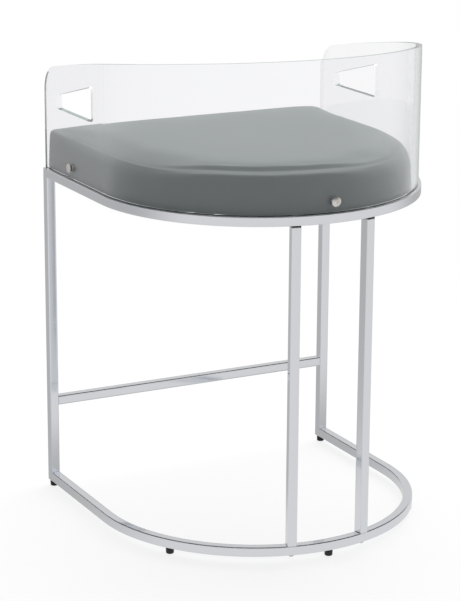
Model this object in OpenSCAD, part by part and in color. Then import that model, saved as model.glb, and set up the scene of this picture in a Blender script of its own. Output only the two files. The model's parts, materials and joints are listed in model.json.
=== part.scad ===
// Counter stool: square chrome tube frame with a D-shaped plan, an upholstered seat and a clear
// wrap-round back panel. The sitter faces -Y, +X is the sitter's left, and the floor is z = 0.

/* [Frame] */
// Width over the two side rails
overall_w = 572; // [520:2:640]
// Depth from the front legs' front faces to the back of the rails
frame_d = 532; // [490:2:580]
// Height of the seat rail's top face above the floor
rail_top_h = 588; // [540:2:700]
// Outside width of the square tube
tube = 16; // [14:1:20]
// Wall of the square tube
tube_wall = 1.5; // [1:0.25:2]
// Radius on the tube's outer edges
tube_edge_r = 1; // [0.5:0.25:1.25]
// Height of the footrest bar's top face
footrest_top_h = 170; // [120:5:260]
// Angle of each rear leg from the middle of the back
rear_leg_angle = 14; // [11:1:28]
// Length of the threaded block in each end of a rear leg
leg_insert_len = 16; // [12:1:24]
// Thickness of the black gasket on top of each rear leg
gasket_t = 2; // [1:0.5:3]
// How far the gasket stays inside the tube's outline
gasket_inset = 0.4; // [0.2:0.1:1]

/* [Feet] */
// Diameter of a glide foot
foot_d = 14; // [12:1:18]
// Height of a glide foot
foot_h = 9.7; // [8:0.1:14]
// Gap between a foot and its nut when the foot is screwed right in
foot_gap = 0.3; // [0.2:0.1:0.6]
// How far a foot screws out to level the stool
foot_travel = 6; // [3:0.5:7]
// Angle of each side foot from the middle of the back
side_foot_angle = 57; // [40:1:75]
// Depth of the stud's seat in a foot
stud_seat = 6; // [4:0.5:7]
// Outside diameter of the nut's barrel
nut_barrel_d = 9; // [8.5:0.5:10]
// Height of the nut's barrel inside the tube
nut_barrel_h = 10; // [8:0.5:10.5]
// Diameter of the nut's flange under the tube
nut_flange_d = 11; // [10.5:0.5:14]
// Thickness of the nut's flange
nut_flange_t = 1; // [0.6:0.1:1.5]

/* [Screws] */
// Diameter of the machine screws and studs
screw_d = 6; // [5:0.5:6.5]
// Radial gap between a thread and its nut
thread_gap = 0.05; // [0.03:0.01:0.1]
// Radial gap between a screw and a drilled hole
hole_gap = 0.4; // [0.2:0.1:0.6]
// Head diameter of the leg and seat screws
screw_head_d = 11; // [10:0.5:12]
// Head height of the leg and seat screws
screw_head_h = 3.6; // [2.5:0.1:4.5]
// Width across the hexagon socket in every screw head
socket_w = 4; // [3:0.5:5]
// Depth of the hexagon socket in every screw head
socket_depth = 1.8; // [1:0.1:2.2]
// Depth of the countersunk head in the top of the seat rail
sunk_head_h = 3; // [2:0.25:3.5]

/* [Seat] */
// Distance from the rails' outer faces in to the cushion's sides
cushion_inset = 17; // [17:0.5:24]
// How far the cushion stands ahead of the front legs
cushion_overhang = 10; // [0:1:20]
// Radius of the cushion's two front corners
cushion_corner_r = 16; // [12:1:40]
// Height of the cushion's shoulder above the seat rail
shoulder_h = 66; // [55:1:90]
// How far the sides draw in from the bottom to the shoulder
side_lean = 3; // [1:0.5:8]
// Radius of the rolled shoulder
shoulder_r = 9; // [6:1:14]
// Width of the flat ledge on top of the shoulder
ledge_w = 8; // [4:1:14]
// Height of the crown above the shoulder
crown_h = 14; // [8:1:30]
// Distance over which the crown rises
crown_reach = 140; // [100:5:160]
// Thickness of the upholstery cover
cover_t = 1.2; // [0.8:0.1:2]
// Gap between the cover, the foam and the wooden base
upholstery_gap = 0.3; // [0.2:0.1:0.5]
// Width of the cover's edge turned under the seat board
turn_under_w = 24; // [15:1:28]
// Thickness of the foam over the sides of the wooden base
side_foam_t = 4.5; // [3:0.5:8]
// Thickness of the plywood seat board
board_t = 10; // [9:0.5:15]
// Width of the plywood rim on the board
rim_w = 12; // [10:1:18]
// Height of the plywood rim on the board
rim_h = 18; // [16:1:30]
// Radius of the wooden base's front corners
board_corner_r = 12; // [9:1:20]

/* [Seat fixing] */
// Length of each seat tab, from the rail inwards
tab_len = 46; // [42:1:60]
// Width of each seat tab
tab_w = 30; // [24:1:40]
// Thickness of each seat tab
tab_t = 3; // [2:0.5:5]
// Distance from the rail in to the seat screw
tab_hole_in = 36; // [34:1:38]
// Distance of the front pair of tabs behind the front legs' front faces
front_tab_back = 90; // [60:5:160]
// Angle of the rear pair of tabs from the middle of the back
rear_tab_angle = 45; // [35:1:70]
// Diameter of a tee nut's flange
tee_flange_d = 18; // [16:1:20]
// Thickness of a tee nut's flange
tee_flange_t = 1.2; // [1:0.1:1.6]
// Diameter of a tee nut's barrel
tee_barrel_d = 8; // [7.5:0.25:9]
// Diameter of the plain washer under a seat screw
washer_d = 14; // [12.5:0.5:18]
// Thickness of the plain washer
washer_t = 1.2; // [0.8:0.1:2]

/* [Back panel] */
// Thickness of the clear back panel
panel_t = 10; // [8:0.5:10.5]
// Distance from the rails' outer faces in to the panel
panel_inset = 5; // [3:0.5:6]
// Height of the panel above the rail at the middle of the back
panel_back_h = 248; // [200:2:320]
// Height of the panel above the rail at its front edges
panel_front_h = 176; // [165:1:195]
// Radius of the long curve along the panel's top edge, seen from the side
panel_sweep_r = 4600; // [3000:100:8000]
// Radius of the panel's upper front corners
panel_corner_r = 48; // [10:1:60]
// Distance from the panel's front edge back to the handle hole
handle_from_front = 53; // [40:1:70]
// Length of the handle hole
handle_len = 146; // [110:2:160]
// Height of the handle hole's level lower edge above the rail
handle_low_h = 113; // [95:1:115]
// Height of the handle hole at its front end
handle_front_h = 23; // [20:1:27]
// Height of the handle hole at its rear end
handle_rear_h = 60; // [50:1:66]
// Radius of the handle hole's corners
handle_corner_r = 6; // [3:0.5:9]

/* [Panel fixing] */
// Height of the panel screws above the rail
panel_screw_h = 18; // [17:0.5:20]
// Distance from the panel's front edge back to the side screws
side_screw_back = 105; // [70:5:180]
// Diameter of a panel screw's domed head
cap_d = 16.5; // [14:0.5:20]
// Height of a panel screw's domed head
cap_h = 4; // [3:0.5:6]
// Height of the straight edge of the domed head
cap_edge_h = 1.2; // [0.6:0.1:2]
// Diameter of the clear washer between head and panel
cap_washer_d = 15; // [13:0.5:18]
// Thickness of the clear washer
cap_washer_t = 0.8; // [0.5:0.1:1.5]
// Outside diameter of a spacer sleeve
spacer_d = 10; // [9:0.5:12]
// Outside diameter of a threaded insert in the rim
rim_insert_d = 9; // [8:0.5:10]

/* [Hidden] */
$fn = 96;

// One overrun that every cut shares
cut = 2;
// Rounding steps of the long sweep, which needs more of them
sweep_fn = 720;

// Plan of the frame
half_w = overall_w / 2;
overall_d = frame_d + cushion_overhang;
back_y = overall_d / 2;
arc_y = back_y - half_w;
front_y = back_y - frame_d;
tube_mid_r = half_w - tube / 2;
leg_y = front_y + tube / 2;
tube_hollow = tube - 2 * tube_wall;

// Heights of the frame
base_z = foot_h + foot_gap + nut_flange_t;
base_top_z = base_z + tube;
rail_z = rail_top_h - tube;
rear_leg_top_z = rail_z - gasket_t;

// Places round the rails: angle from the middle of the back, positive to the sitter's left
rear_leg_angles = [rear_leg_angle, -rear_leg_angle];
round_foot_angles = [side_foot_angle, -side_foot_angle, 0];
thread_r = screw_d / 2;
drill_r = thread_r + hole_gap;
nut_bore_r = thread_r + thread_gap;

// Feet
stud_top_z = base_top_z - tube_wall - foot_gap;
foot_waist_r = foot_d / 2 - foot_gap;
foot_edge_r = foot_h / 8;

// Cushion section: how many steps each stretch of it has
side_steps = 3;
roll_steps = 3;
crown_step_shares = [0.09, 0.22, 0.42, 0.7, 1];
crown_power = 4;
arc_steps = 24;
corner_steps = 3;
side_points = 2;
front_points = 4;
corner_least_r = tube_edge_r;

// Cushion: its round side has arc_steps flats, and each lies flat_depth inside the true round
seat_half_w = half_w - cushion_inset;
flat_depth = seat_half_w * (1 - cos(90 / arc_steps));
seat_front_y = front_y - cushion_overhang;
seat_z = rail_top_h;
lip_inset = turn_under_w;
board_gap = cover_t + upholstery_gap;
foam_inset = board_gap + side_foam_t;
wood_inset = foam_inset + upholstery_gap + flat_depth;
board_z = seat_z + cover_t;
rim_z = board_z + board_t;
rim_top_z = rim_z + rim_h;

// Seat fixing
tab_z = rail_top_h - tab_t;
rail_inner_r = half_w - tube;
tab_screw_r = rail_inner_r - tab_hole_in;
tab_front_y = front_y + front_tab_back;
seat_screw_top_z = rim_z - tee_flange_t;

// Back panel
panel_out_r = half_w - panel_inset;
panel_in_r = panel_out_r - panel_t;
panel_top_front = [front_y, rail_top_h + panel_front_h];
panel_top_back = [arc_y + panel_out_r, rail_top_h + panel_back_h];
panel_chord = panel_top_back - panel_top_front;
panel_chord_mid = (panel_top_back + panel_top_front) / 2;
panel_sink = sqrt(pow(panel_sweep_r, 2) - pow(norm(panel_chord) / 2, 2));
sweep_centre = panel_chord_mid + [panel_chord[1], -panel_chord[0]] / norm(panel_chord) * panel_sink;
corner_y = front_y + panel_corner_r;
corner_z = sweep_centre[1]
    + sqrt(pow(panel_sweep_r - panel_corner_r, 2) - pow(corner_y - sweep_centre[0], 2));
corner_centre = [corner_y, corner_z];
corner_out = (corner_centre - sweep_centre) / norm(corner_centre - sweep_centre);
panel_screw_z = rail_top_h + panel_screw_h;
side_screw_y = front_y + side_screw_back;
rim_out_r = seat_half_w - wood_inset;
rim_in_r = rim_out_r - rim_w;

// Handle hole, seen from the side: lower front, upper front, upper rear, lower rear
handle_y0 = front_y + handle_from_front;
handle_y1 = handle_y0 + handle_len;
handle_z = rail_top_h + handle_low_h;
handle_points = [[handle_y0, handle_z], [handle_y0, handle_z + handle_front_h],
    [handle_y1, handle_z + handle_rear_h], [handle_y1, handle_z]];

// Points and helpers

function on_round(r, a) = [r * sin(a), arc_y + r * cos(a)];

function unit(v) = v / norm(v);

function corner_half(p, i) =
    let (n = len(p), u = unit(p[(i + n - 1) % n] - p[i]), v = unit(p[(i + 1) % n] - p[i]))
    acos(u * v) / 2;

function corner_mid(p, i, r) =
    let (n = len(p), u = unit(p[(i + n - 1) % n] - p[i]), v = unit(p[(i + 1) % n] - p[i]))
    p[i] + unit(u + v) * r / sin(corner_half(p, i));

function corner_tangents(p, i, r) =
    let (n = len(p), u = unit(p[(i + n - 1) % n] - p[i]), v = unit(p[(i + 1) % n] - p[i]),
        t = r / tan(corner_half(p, i)))
    [p[i] + u * t, p[i] + v * t];

// One level loop of the cushion, drawn in by d on every side
function seat_loop(d, z) =
    let (w = seat_half_w - d, f = seat_front_y + d,
        c = max(cushion_corner_r - d, corner_least_r), s = f + c)
    concat(
        [for (i = [0:arc_steps]) [w * cos(180 * i / arc_steps), arc_y + w * sin(180 * i / arc_steps), z]],
        [for (i = [1:side_points]) [-w, arc_y + (s - arc_y) * i / (side_points + 1), z]],
        [for (i = [0:corner_steps])
            [c - w - c * cos(90 * i / corner_steps), s - c * sin(90 * i / corner_steps), z]],
        [for (i = [1:front_points]) [(w - c) * (2 * i / (front_points + 1) - 1), f, z]],
        [for (i = [corner_steps:-1:0])
            [w - c + c * cos(90 * i / corner_steps), s - c * sin(90 * i / corner_steps), z]],
        [for (i = [side_points:-1:1]) [w, arc_y + (s - arc_y) * i / (side_points + 1), z]]);

// Section of the cushion from the crown down to its bottom edge, as [inset, height], moved in by t
function seat_section(t, bottom) =
    let (roll_in = side_lean + shoulder_r, ledge_in = roll_in + ledge_w)
    concat(
        [for (i = [len(crown_step_shares) - 1:-1:0])
            let (u = crown_step_shares[i])
            [ledge_in + crown_reach * u + t, shoulder_h + crown_h * (1 - pow(1 - u, crown_power)) - t]],
        [[ledge_in + t, shoulder_h - t]],
        [for (i = [0:roll_steps]) let (a = 90 - 90 * i / roll_steps)
            [roll_in - shoulder_r * cos(a) + t, shoulder_h - shoulder_r + shoulder_r * sin(a) - t]],
        [for (i = [1:side_steps]) let (u = 1 - i / side_steps)
            [side_lean * u * u + t, bottom + (shoulder_h - shoulder_r - t - bottom) * u]]);

// A closed skin round the axis: the loops in order, with a point closing each end
module seat_skin(section, z_first, z_last) {
    loops = [for (p = section) seat_loop(p[0], seat_z + p[1])];
    n = len(loops[0]);
    m = len(loops);
    points = concat([[0, arc_y, seat_z + z_first]], [for (l = loops) for (q = l) q],
        [[0, arc_y, seat_z + z_last]]);
    polyhedron(points = points, convexity = 6, faces = concat(
        [for (i = [0:n - 1]) [0, 1 + (i + 1) % n, 1 + i]],
        [for (k = [0:m - 2]) for (i = [0:n - 1])
            [1 + k * n + i, 1 + k * n + (i + 1) % n, 1 + (k + 1) * n + (i + 1) % n]],
        [for (k = [0:m - 2]) for (i = [0:n - 1])
            [1 + k * n + i, 1 + (k + 1) * n + (i + 1) % n, 1 + (k + 1) * n + i]],
        [for (i = [0:n - 1]) [1 + m * n, 1 + (m - 1) * n + i, 1 + (m - 1) * n + (i + 1) % n]]));
}

// Flat D shape with its round side at the back
module d_area(w, front, corner_r) {
    intersection() {
        translate([0, arc_y]) circle(r = w);
        translate([-w, arc_y]) square([2 * w, w]);
    }
    translate([-w, front + corner_r]) square([2 * w, arc_y - front - corner_r]);
    if (corner_r > 0) {
        translate([corner_r - w, front]) square([2 * (w - corner_r), corner_r]);
        for (s = [-1, 1]) translate([s * (w - corner_r), front + corner_r]) circle(r = corner_r);
    }
}

// Space between two D shapes that are open at the front
module d_wall(out_r, in_r, z0, z1) {
    translate([0, 0, z0]) linear_extrude(z1 - z0) difference() {
        d_area(out_r, front_y, 0);
        d_area(in_r, front_y - cut, 0);
    }
}

module tube_section() {
    inner = tube - 2 * tube_edge_r;
    difference() {
        union() {
            square([tube, inner], center = true);
            square([inner, tube], center = true);
            for (x = [-1, 1]) for (y = [-1, 1]) translate([x, y] * inner / 2) circle(r = tube_edge_r);
        }
        square(tube_hollow, center = true);
    }
}

// Square tube that stands on z = 0
module tube_up(len) {
    linear_extrude(len) tube_section();
}

// U-shaped rail with its bottom at height z
module u_rail(z) {
    translate([0, arc_y, z + tube / 2]) {
        rotate_extrude(angle = 180) translate([tube_mid_r, 0]) tube_section();
        for (s = [-1, 1]) translate([s * tube_mid_r, 0, 0]) rotate([90, 0, 0])
            tube_up(arc_y - front_y - tube);
    }
}

// Front leg with both ends closed by welded plates, ground flush
module front_leg() {
    tube_up(rail_top_h - base_z);
    for (z = [0, rail_top_h - base_z - tube_wall]) translate([0, 0, z]) linear_extrude(tube_wall)
        square(tube_hollow, center = true);
}

module screw_socket(z) {
    translate([0, 0, z]) cylinder(h = socket_depth + cut, r = socket_w / sqrt(3), $fn = 6);
}

// Pan head screw, head upwards, with the underside of its head on z = 0
module pan_screw(len, head_d, head_h) {
    difference() {
        union() {
            translate([0, 0, -len]) cylinder(h = len, r = thread_r);
            rotate_extrude() polygon([[0, 0], [head_d / 2, 0], [head_d / 2, head_h / 2],
                [head_d / 2 - head_h / 2, head_h], [0, head_h]]);
        }
        screw_socket(head_h - socket_depth);
    }
}

// Countersunk screw, head upwards, with the top of its head on z = 0
module sunk_screw(len) {
    difference() {
        union() {
            translate([0, 0, -len]) cylinder(h = len, r = thread_r);
            translate([0, 0, -sunk_head_h])
                cylinder(h = sunk_head_h, r1 = thread_r, r2 = thread_r + sunk_head_h);
        }
        screw_socket(-socket_depth);
    }
}

// Domed screw, head upwards, with the underside of its head on z = 0
module domed_screw(len) {
    dome_h = cap_h - cap_edge_h;
    dome_r = (pow(cap_d / 2, 2) + pow(dome_h, 2)) / (2 * dome_h);
    difference() {
        union() {
            translate([0, 0, -len]) cylinder(h = len, r = thread_r);
            cylinder(h = cap_edge_h, r = cap_d / 2);
            intersection() {
                translate([0, 0, cap_h - dome_r]) sphere(r = dome_r);
                translate([0, 0, cap_edge_h]) cylinder(h = dome_h, r = cap_d / 2);
            }
        }
        screw_socket(cap_h - socket_depth);
    }
}

module ring(h, out_r, in_r) {
    difference() {
        cylinder(h = h, r = out_r);
        translate([0, 0, -cut]) cylinder(h = h + 2 * cut, r = in_r);
    }
}

// The five feet, in order: front left, front right, side left, side right, back
foot_places = concat([[tube_mid_r, leg_y], [-tube_mid_r, leg_y]],
    [for (a = round_foot_angles) on_round(tube_mid_r, a)]);

module at_feet(picked) {
    for (i = picked) translate(foot_places[i]) children();
}

module at_rear_legs() {
    for (a = rear_leg_angles) translate(on_round(tube_mid_r, a)) rotate(-a) children();
}

// Seat tabs, with +Y pointing inwards: two from the straight rails and two from the round
module at_tabs() {
    for (s = [-1, 1]) {
        translate([s * rail_inner_r, tab_front_y]) rotate(90 * s) children();
        translate(on_round(rail_inner_r, s * rear_tab_angle)) rotate(180 - s * rear_tab_angle)
            children();
    }
}

// Panel screws, with +Z pointing outwards through the panel at radius r
module at_panel_screws(r) {
    for (s = [-1, 1]) translate([s * r, side_screw_y, panel_screw_z]) rotate([0, 90 * s, 0]) children();
    translate([0, arc_y + r, panel_screw_z]) rotate([-90, 0, 0]) children();
}

// Frame

module top_rail() {
    color("silver") difference() {
        u_rail(rail_z);
        at_rear_legs() translate([0, 0, rail_z - cut]) {
            cylinder(h = tube + 2 * cut, r = drill_r);
            translate([0, 0, cut + tube - sunk_head_h])
                cylinder(h = sunk_head_h, r1 = thread_r, r2 = thread_r + sunk_head_h);
        }
    }
}

module base_rail() {
    color("silver") difference() {
        u_rail(base_z);
        at_rear_legs() translate([0, 0, base_z - cut]) cylinder(h = tube + 2 * cut, r = drill_r);
        at_feet([2, 3, 4]) translate([0, 0, base_z - cut])
            cylinder(h = tube_wall + 2 * cut, r = nut_barrel_d / 2);
    }
}

module seat_front_rail() {
    color("silver") translate([-rail_inner_r, leg_y, rail_z + tube / 2]) rotate([0, 90, 0])
        tube_up(2 * rail_inner_r);
}

module footrest_bar() {
    color("silver") translate([-rail_inner_r, leg_y, footrest_top_h - tube / 2]) rotate([0, 90, 0])
        tube_up(2 * rail_inner_r);
}

module front_leg_at(i) {
    color("silver") difference() {
        translate(concat(foot_places[i], base_z)) front_leg();
        at_feet([i]) translate([0, 0, base_z - cut])
            cylinder(h = tube_wall + 2 * cut, r = nut_barrel_d / 2);
    }
}

module front_leg_left() {
    front_leg_at(0);
}

module front_leg_right() {
    front_leg_at(1);
}

module rear_leg_at(a) {
    color("silver") translate(concat(on_round(tube_mid_r, a), base_top_z)) rotate(-a)
        tube_up(rear_leg_top_z - base_top_z);
}

module rear_leg_left() {
    rear_leg_at(rear_leg_angle);
}

module rear_leg_right() {
    rear_leg_at(-rear_leg_angle);
}

module rear_leg_inserts() {
    color("gray") at_rear_legs() for (z = [base_top_z, rear_leg_top_z - leg_insert_len])
        translate([0, 0, z]) difference() {
            linear_extrude(leg_insert_len) square(tube_hollow, center = true);
            translate([0, 0, -cut]) cylinder(h = leg_insert_len + 2 * cut, r = nut_bore_r);
        }
}

module rear_leg_gaskets() {
    color("black") at_rear_legs() translate([0, 0, rear_leg_top_z]) difference() {
        linear_extrude(gasket_t) square(tube - 2 * gasket_inset, center = true);
        translate([0, 0, -cut]) cylinder(h = gasket_t + 2 * cut, r = drill_r);
    }
}

module rear_leg_top_screws() {
    color("gainsboro") at_rear_legs() translate([0, 0, rail_top_h])
        sunk_screw(tube + gasket_t + leg_insert_len);
}

module rear_leg_bottom_screws() {
    color("gainsboro") at_rear_legs() translate([0, 0, base_z]) mirror([0, 0, 1])
        pan_screw(tube + leg_insert_len, screw_head_d, screw_head_h);
}

module seat_tabs() {
    color("silver") translate([0, 0, tab_z]) intersection() {
        linear_extrude(tab_t) d_area(rail_inner_r, front_y, 0);
        at_tabs() difference() {
            translate([-tab_w / 2, -cut, 0]) cube([tab_w, tab_len + cut, tab_t]);
            translate([0, tab_hole_in, -cut]) cylinder(h = tab_t + 2 * cut, r = drill_r);
        }
    }
}

// Feet

module foot_nuts() {
    color("lightgray") at_feet([0, 1, 2, 3, 4]) translate([0, 0, base_z]) {
        translate([0, 0, -nut_flange_t]) ring(nut_flange_t, nut_flange_d / 2, nut_bore_r);
        ring(nut_barrel_h, nut_barrel_d / 2, nut_bore_r);
    }
}

module foot_pad(i) {
    color("black") at_feet([i]) difference() {
        rotate_extrude() polygon([[0, 0], [foot_waist_r - foot_edge_r, 0], [foot_waist_r, foot_edge_r],
            [foot_d / 2, foot_h - foot_edge_r], [foot_d / 2 - foot_edge_r, foot_h], [0, foot_h]]);
        translate([0, 0, foot_h - stud_seat]) cylinder(h = stud_seat + cut, r = thread_r);
    }
}

module foot_stud(i) {
    color("gainsboro") at_feet([i]) translate([0, 0, foot_h - stud_seat])
        cylinder(h = stud_top_z - foot_h + stud_seat, r = thread_r);
}

module foot_front_left() {
    foot_pad(0);
}

module foot_front_right() {
    foot_pad(1);
}

module foot_side_left() {
    foot_pad(2);
}

module foot_side_right() {
    foot_pad(3);
}

module foot_back() {
    foot_pad(4);
}

module stud_front_left() {
    foot_stud(0);
}

module stud_front_right() {
    foot_stud(1);
}

module stud_side_left() {
    foot_stud(2);
}

module stud_side_right() {
    foot_stud(3);
}

module stud_back() {
    foot_stud(4);
}

// Seat

module seat_board() {
    color("burlywood") difference() {
        translate([0, 0, board_z]) linear_extrude(board_t)
            d_area(rim_out_r, seat_front_y + wood_inset, board_corner_r);
        at_tabs() translate([0, tab_hole_in, 0]) {
            translate([0, 0, board_z - cut]) cylinder(h = board_t + 2 * cut, r = tee_barrel_d / 2);
            translate([0, 0, rim_z - tee_flange_t]) cylinder(h = tee_flange_t + cut, r = tee_flange_d / 2);
        }
    }
}

module seat_rim() {
    color("tan") difference() {
        translate([0, 0, rim_z]) linear_extrude(rim_h) difference() {
            d_area(rim_out_r, seat_front_y + wood_inset, board_corner_r);
            d_area(rim_in_r, seat_front_y + wood_inset + rim_w, 0);
        }
        at_panel_screws(rim_in_r - cut) cylinder(h = rim_w + 2 * cut, r = rim_insert_d / 2);
    }
}

module rim_inserts() {
    color("goldenrod") intersection() {
        at_panel_screws(rim_in_r - cut) ring(rim_w + 2 * cut, rim_insert_d / 2, nut_bore_r);
        d_wall(rim_out_r, rim_in_r, rim_z, rim_top_z);
    }
}

module foam_pad() {
    gap = board_gap;
    rim_out = foam_inset;
    rim_in = wood_inset + rim_w + upholstery_gap;
    rim_top = rim_top_z + upholstery_gap - seat_z;
    floor_h = rim_z + upholstery_gap - seat_z;
    section = concat(seat_section(gap, gap),
        [[rim_out, gap], [rim_out, rim_top], [rim_in, rim_top], [rim_in, floor_h]]);
    color("khaki") difference() {
        seat_skin(section, shoulder_h + crown_h - gap, floor_h);
        at_panel_screws(rim_in_r - cut)
            cylinder(h = cushion_inset + rim_w + wood_inset, r = spacer_d / 2 + upholstery_gap);
    }
}

module seat_cover() {
    outside = seat_section(0, 0);
    inside = seat_section(cover_t, cover_t);
    flipped = [for (i = [len(inside) - 1:-1:0]) inside[i]];
    section = concat(outside, [[lip_inset, 0], [lip_inset, cover_t]], flipped);
    color("slategray") difference() {
        seat_skin(section, shoulder_h + crown_h, shoulder_h + crown_h - cover_t);
        at_panel_screws(rim_in_r - cut)
            cylinder(h = cushion_inset + rim_w + wood_inset, r = spacer_d / 2 + upholstery_gap);
    }
}

module dust_cover() {
    inset = lip_inset + upholstery_gap + flat_depth;
    color("dimgray") difference() {
        translate([0, 0, seat_z]) linear_extrude(cover_t)
            d_area(seat_half_w - inset, seat_front_y + inset, 0);
        at_tabs() translate([0, tab_hole_in, seat_z - cut]) cylinder(h = cover_t + 2 * cut, r = drill_r);
    }
}

module tee_nuts() {
    color("lightgray") at_tabs() translate([0, tab_hole_in, 0]) {
        translate([0, 0, board_z]) ring(board_t - tee_flange_t, tee_barrel_d / 2, nut_bore_r);
        translate([0, 0, rim_z - tee_flange_t]) ring(tee_flange_t, tee_flange_d / 2, nut_bore_r);
    }
}

module seat_washers() {
    color("lightgray") at_tabs() translate([0, tab_hole_in, tab_z - washer_t])
        ring(washer_t, washer_d / 2, drill_r);
}

module seat_screws() {
    color("gainsboro") at_tabs() translate([0, tab_hole_in, tab_z - washer_t]) mirror([0, 0, 1])
        pan_screw(seat_screw_top_z - tab_z + washer_t, screw_head_d, screw_head_h);
}

// Back panel

// Outline of the panel's sides, drawn in the plane of y and z
module panel_side() {
    reach = 2 * panel_corner_r;
    intersection() {
        translate(sweep_centre) circle(r = panel_sweep_r, $fn = sweep_fn);
        union() {
            translate([corner_y, rail_top_h]) square([frame_d - panel_corner_r, 2 * panel_back_h]);
            translate([front_y, rail_top_h]) square([panel_corner_r, corner_z - rail_top_h]);
            translate(corner_centre) circle(r = panel_corner_r);
            polygon([corner_centre, corner_centre + corner_out * reach, corner_centre + [0, reach]]);
        }
    }
}

module handle_side() {
    n = len(handle_points);
    polygon([for (i = [0:n - 1]) for (q = corner_tangents(handle_points, i, handle_corner_r)) q]);
    for (i = [0:n - 1]) translate(corner_mid(handle_points, i, handle_corner_r))
        circle(r = handle_corner_r);
}

// Stands a drawing of the y-z plane up, so that it runs across the whole width
module across() {
    translate([-half_w, 0, 0]) rotate([90, 0, 90]) linear_extrude(overall_w) children();
}

module back_panel() {
    color("lightcyan", 0.4) difference() {
        intersection() {
            d_wall(panel_out_r, panel_in_r, rail_top_h, rail_top_h + 2 * panel_back_h);
            across() panel_side();
        }
        across() handle_side();
        at_panel_screws(panel_in_r - cut) cylinder(h = panel_t + 2 * cut, r = drill_r);
    }
}

module panel_washers() {
    color("white", 0.6) at_panel_screws(panel_out_r) ring(cap_washer_t, cap_washer_d / 2, drill_r);
}

module panel_screws() {
    color("lightgray") at_panel_screws(panel_out_r + cap_washer_t)
        domed_screw(panel_out_r + cap_washer_t - rim_in_r);
}

module panel_spacers() {
    color("silver") intersection() {
        at_panel_screws(rim_out_r - cut) ring(panel_in_r - rim_out_r + 2 * cut, spacer_d / 2, drill_r);
        d_wall(panel_in_r, rim_out_r, rim_z, rim_top_z);
    }
}

top_rail();
seat_front_rail();
base_rail();
front_leg_left();
front_leg_right();
rear_leg_left();
rear_leg_right();
footrest_bar();
seat_tabs();
rear_leg_inserts();
rear_leg_gaskets();
rear_leg_top_screws();
rear_leg_bottom_screws();
foot_nuts();
foot_front_left();
foot_front_right();
foot_side_left();
foot_side_right();
foot_back();
stud_front_left();
stud_front_right();
stud_side_left();
stud_side_right();
stud_back();
seat_board();
seat_rim();
rim_inserts();
foam_pad();
seat_cover();
dust_cover();
tee_nuts();
seat_screws();
seat_washers();
back_panel();
panel_screws();
panel_washers();
panel_spacers();
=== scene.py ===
# %% [markdown]
# # Counter stool: the looks round the CAD model
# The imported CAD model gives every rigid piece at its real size, in metres, with +Z up
# and the sitter's front towards -Y. This lesson dresses it: it sets the camera and the
# studio, gives each CAD piece a material made from nodes, and models the two soft
# pieces, the cushion and the dust cover, by hand.

# %% Load the CAD model
import json
import math
import bmesh
import bpy
from mathutils import Matrix, Vector, noise


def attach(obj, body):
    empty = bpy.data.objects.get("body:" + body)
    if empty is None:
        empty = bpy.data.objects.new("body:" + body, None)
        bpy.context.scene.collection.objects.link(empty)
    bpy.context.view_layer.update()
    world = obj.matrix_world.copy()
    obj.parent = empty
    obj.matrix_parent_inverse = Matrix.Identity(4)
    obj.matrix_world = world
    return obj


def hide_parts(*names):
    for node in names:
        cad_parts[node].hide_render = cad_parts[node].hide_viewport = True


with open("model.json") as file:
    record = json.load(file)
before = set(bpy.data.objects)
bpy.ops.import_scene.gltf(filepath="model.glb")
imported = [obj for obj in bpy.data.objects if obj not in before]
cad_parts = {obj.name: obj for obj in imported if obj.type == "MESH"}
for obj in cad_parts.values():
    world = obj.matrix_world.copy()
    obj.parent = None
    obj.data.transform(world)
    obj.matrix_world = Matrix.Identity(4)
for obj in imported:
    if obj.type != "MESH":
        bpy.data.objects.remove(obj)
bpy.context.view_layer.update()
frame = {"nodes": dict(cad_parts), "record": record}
nodes = frame["nodes"]
MM = 0.001
print(len(nodes), "CAD pieces")

# %% [markdown]
# The object is a D in plan: straight sides, and a round back about one upright axis at
# y = ARC_Y. The sizes below are the CAD model's own, so what is modelled here fits it.

# %% Sizes shared with the CAD model
ARC_Y = -15 * MM
SEAT_Z = 588 * MM
SEAT_HALF_W = 269 * MM
SEAT_FRONT_Y = -271 * MM
CORNER_R = 16 * MM
print("seat is", 2 * SEAT_HALF_W, "m wide")

# %% [markdown]
# The camera stands where the photographer stood: behind the stool, on the sitter's left,
# a little above the seat. Its place was found by fitting the frame's edges to the photo.

# %% Camera
CAM_AZ, CAM_DIST, CAM_HEIGHT = 2.652025, 3.670859, 1.385390
CAM_PITCH, CAM_ROLL, CAM_YAW = 0.269294, 0.005822, 0.010630
# The fit gave the focal length in pixels of a photo that is 601 pixels high
FOCAL_PX, PHOTO_PX, SENSOR_MM = 2193.195, 601, 36
cam_data = bpy.data.cameras.new("photo_camera")
cam_data.sensor_width = SENSOR_MM
cam_data.lens = FOCAL_PX * SENSOR_MM / PHOTO_PX
cam_data.clip_end = 100
camera = bpy.data.objects.new("photo_camera", cam_data)
bpy.context.scene.collection.objects.link(camera)
cam_place = Vector((CAM_DIST * math.sin(CAM_AZ), -CAM_DIST * math.cos(CAM_AZ) + ARC_Y, CAM_HEIGHT))
cam_turn = (Matrix.Rotation(CAM_AZ + CAM_YAW, 4, "Z")
            @ Matrix.Rotation(math.pi / 2 - CAM_PITCH, 4, "X")
            @ Matrix.Rotation(CAM_ROLL, 4, "Z"))
camera.matrix_world = Matrix.Translation(cam_place) @ cam_turn
bpy.context.scene.camera = camera
print("camera at", [round(v, 3) for v in cam_place])

# %% [markdown]
# ## Helpers for nodes
# A material is a small tree of nodes. One function adds a node, sets its fields and
# joins its inputs. The others are short forms of it for the nodes that come up most.

# %% Node helpers
WHITE = (1, 1, 1, 1)


def linear(code):
    """Linear RGBA of an sRGB hex colour, as read off a screen."""
    out = []
    for i in (0, 2, 4):
        v = int(code[i:i + 2], 16) / 255
        out.append(v / 12.92 if v <= 0.04045 else ((v + 0.055) / 1.055) ** 2.4)
    return (*out, 1.0)


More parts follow.
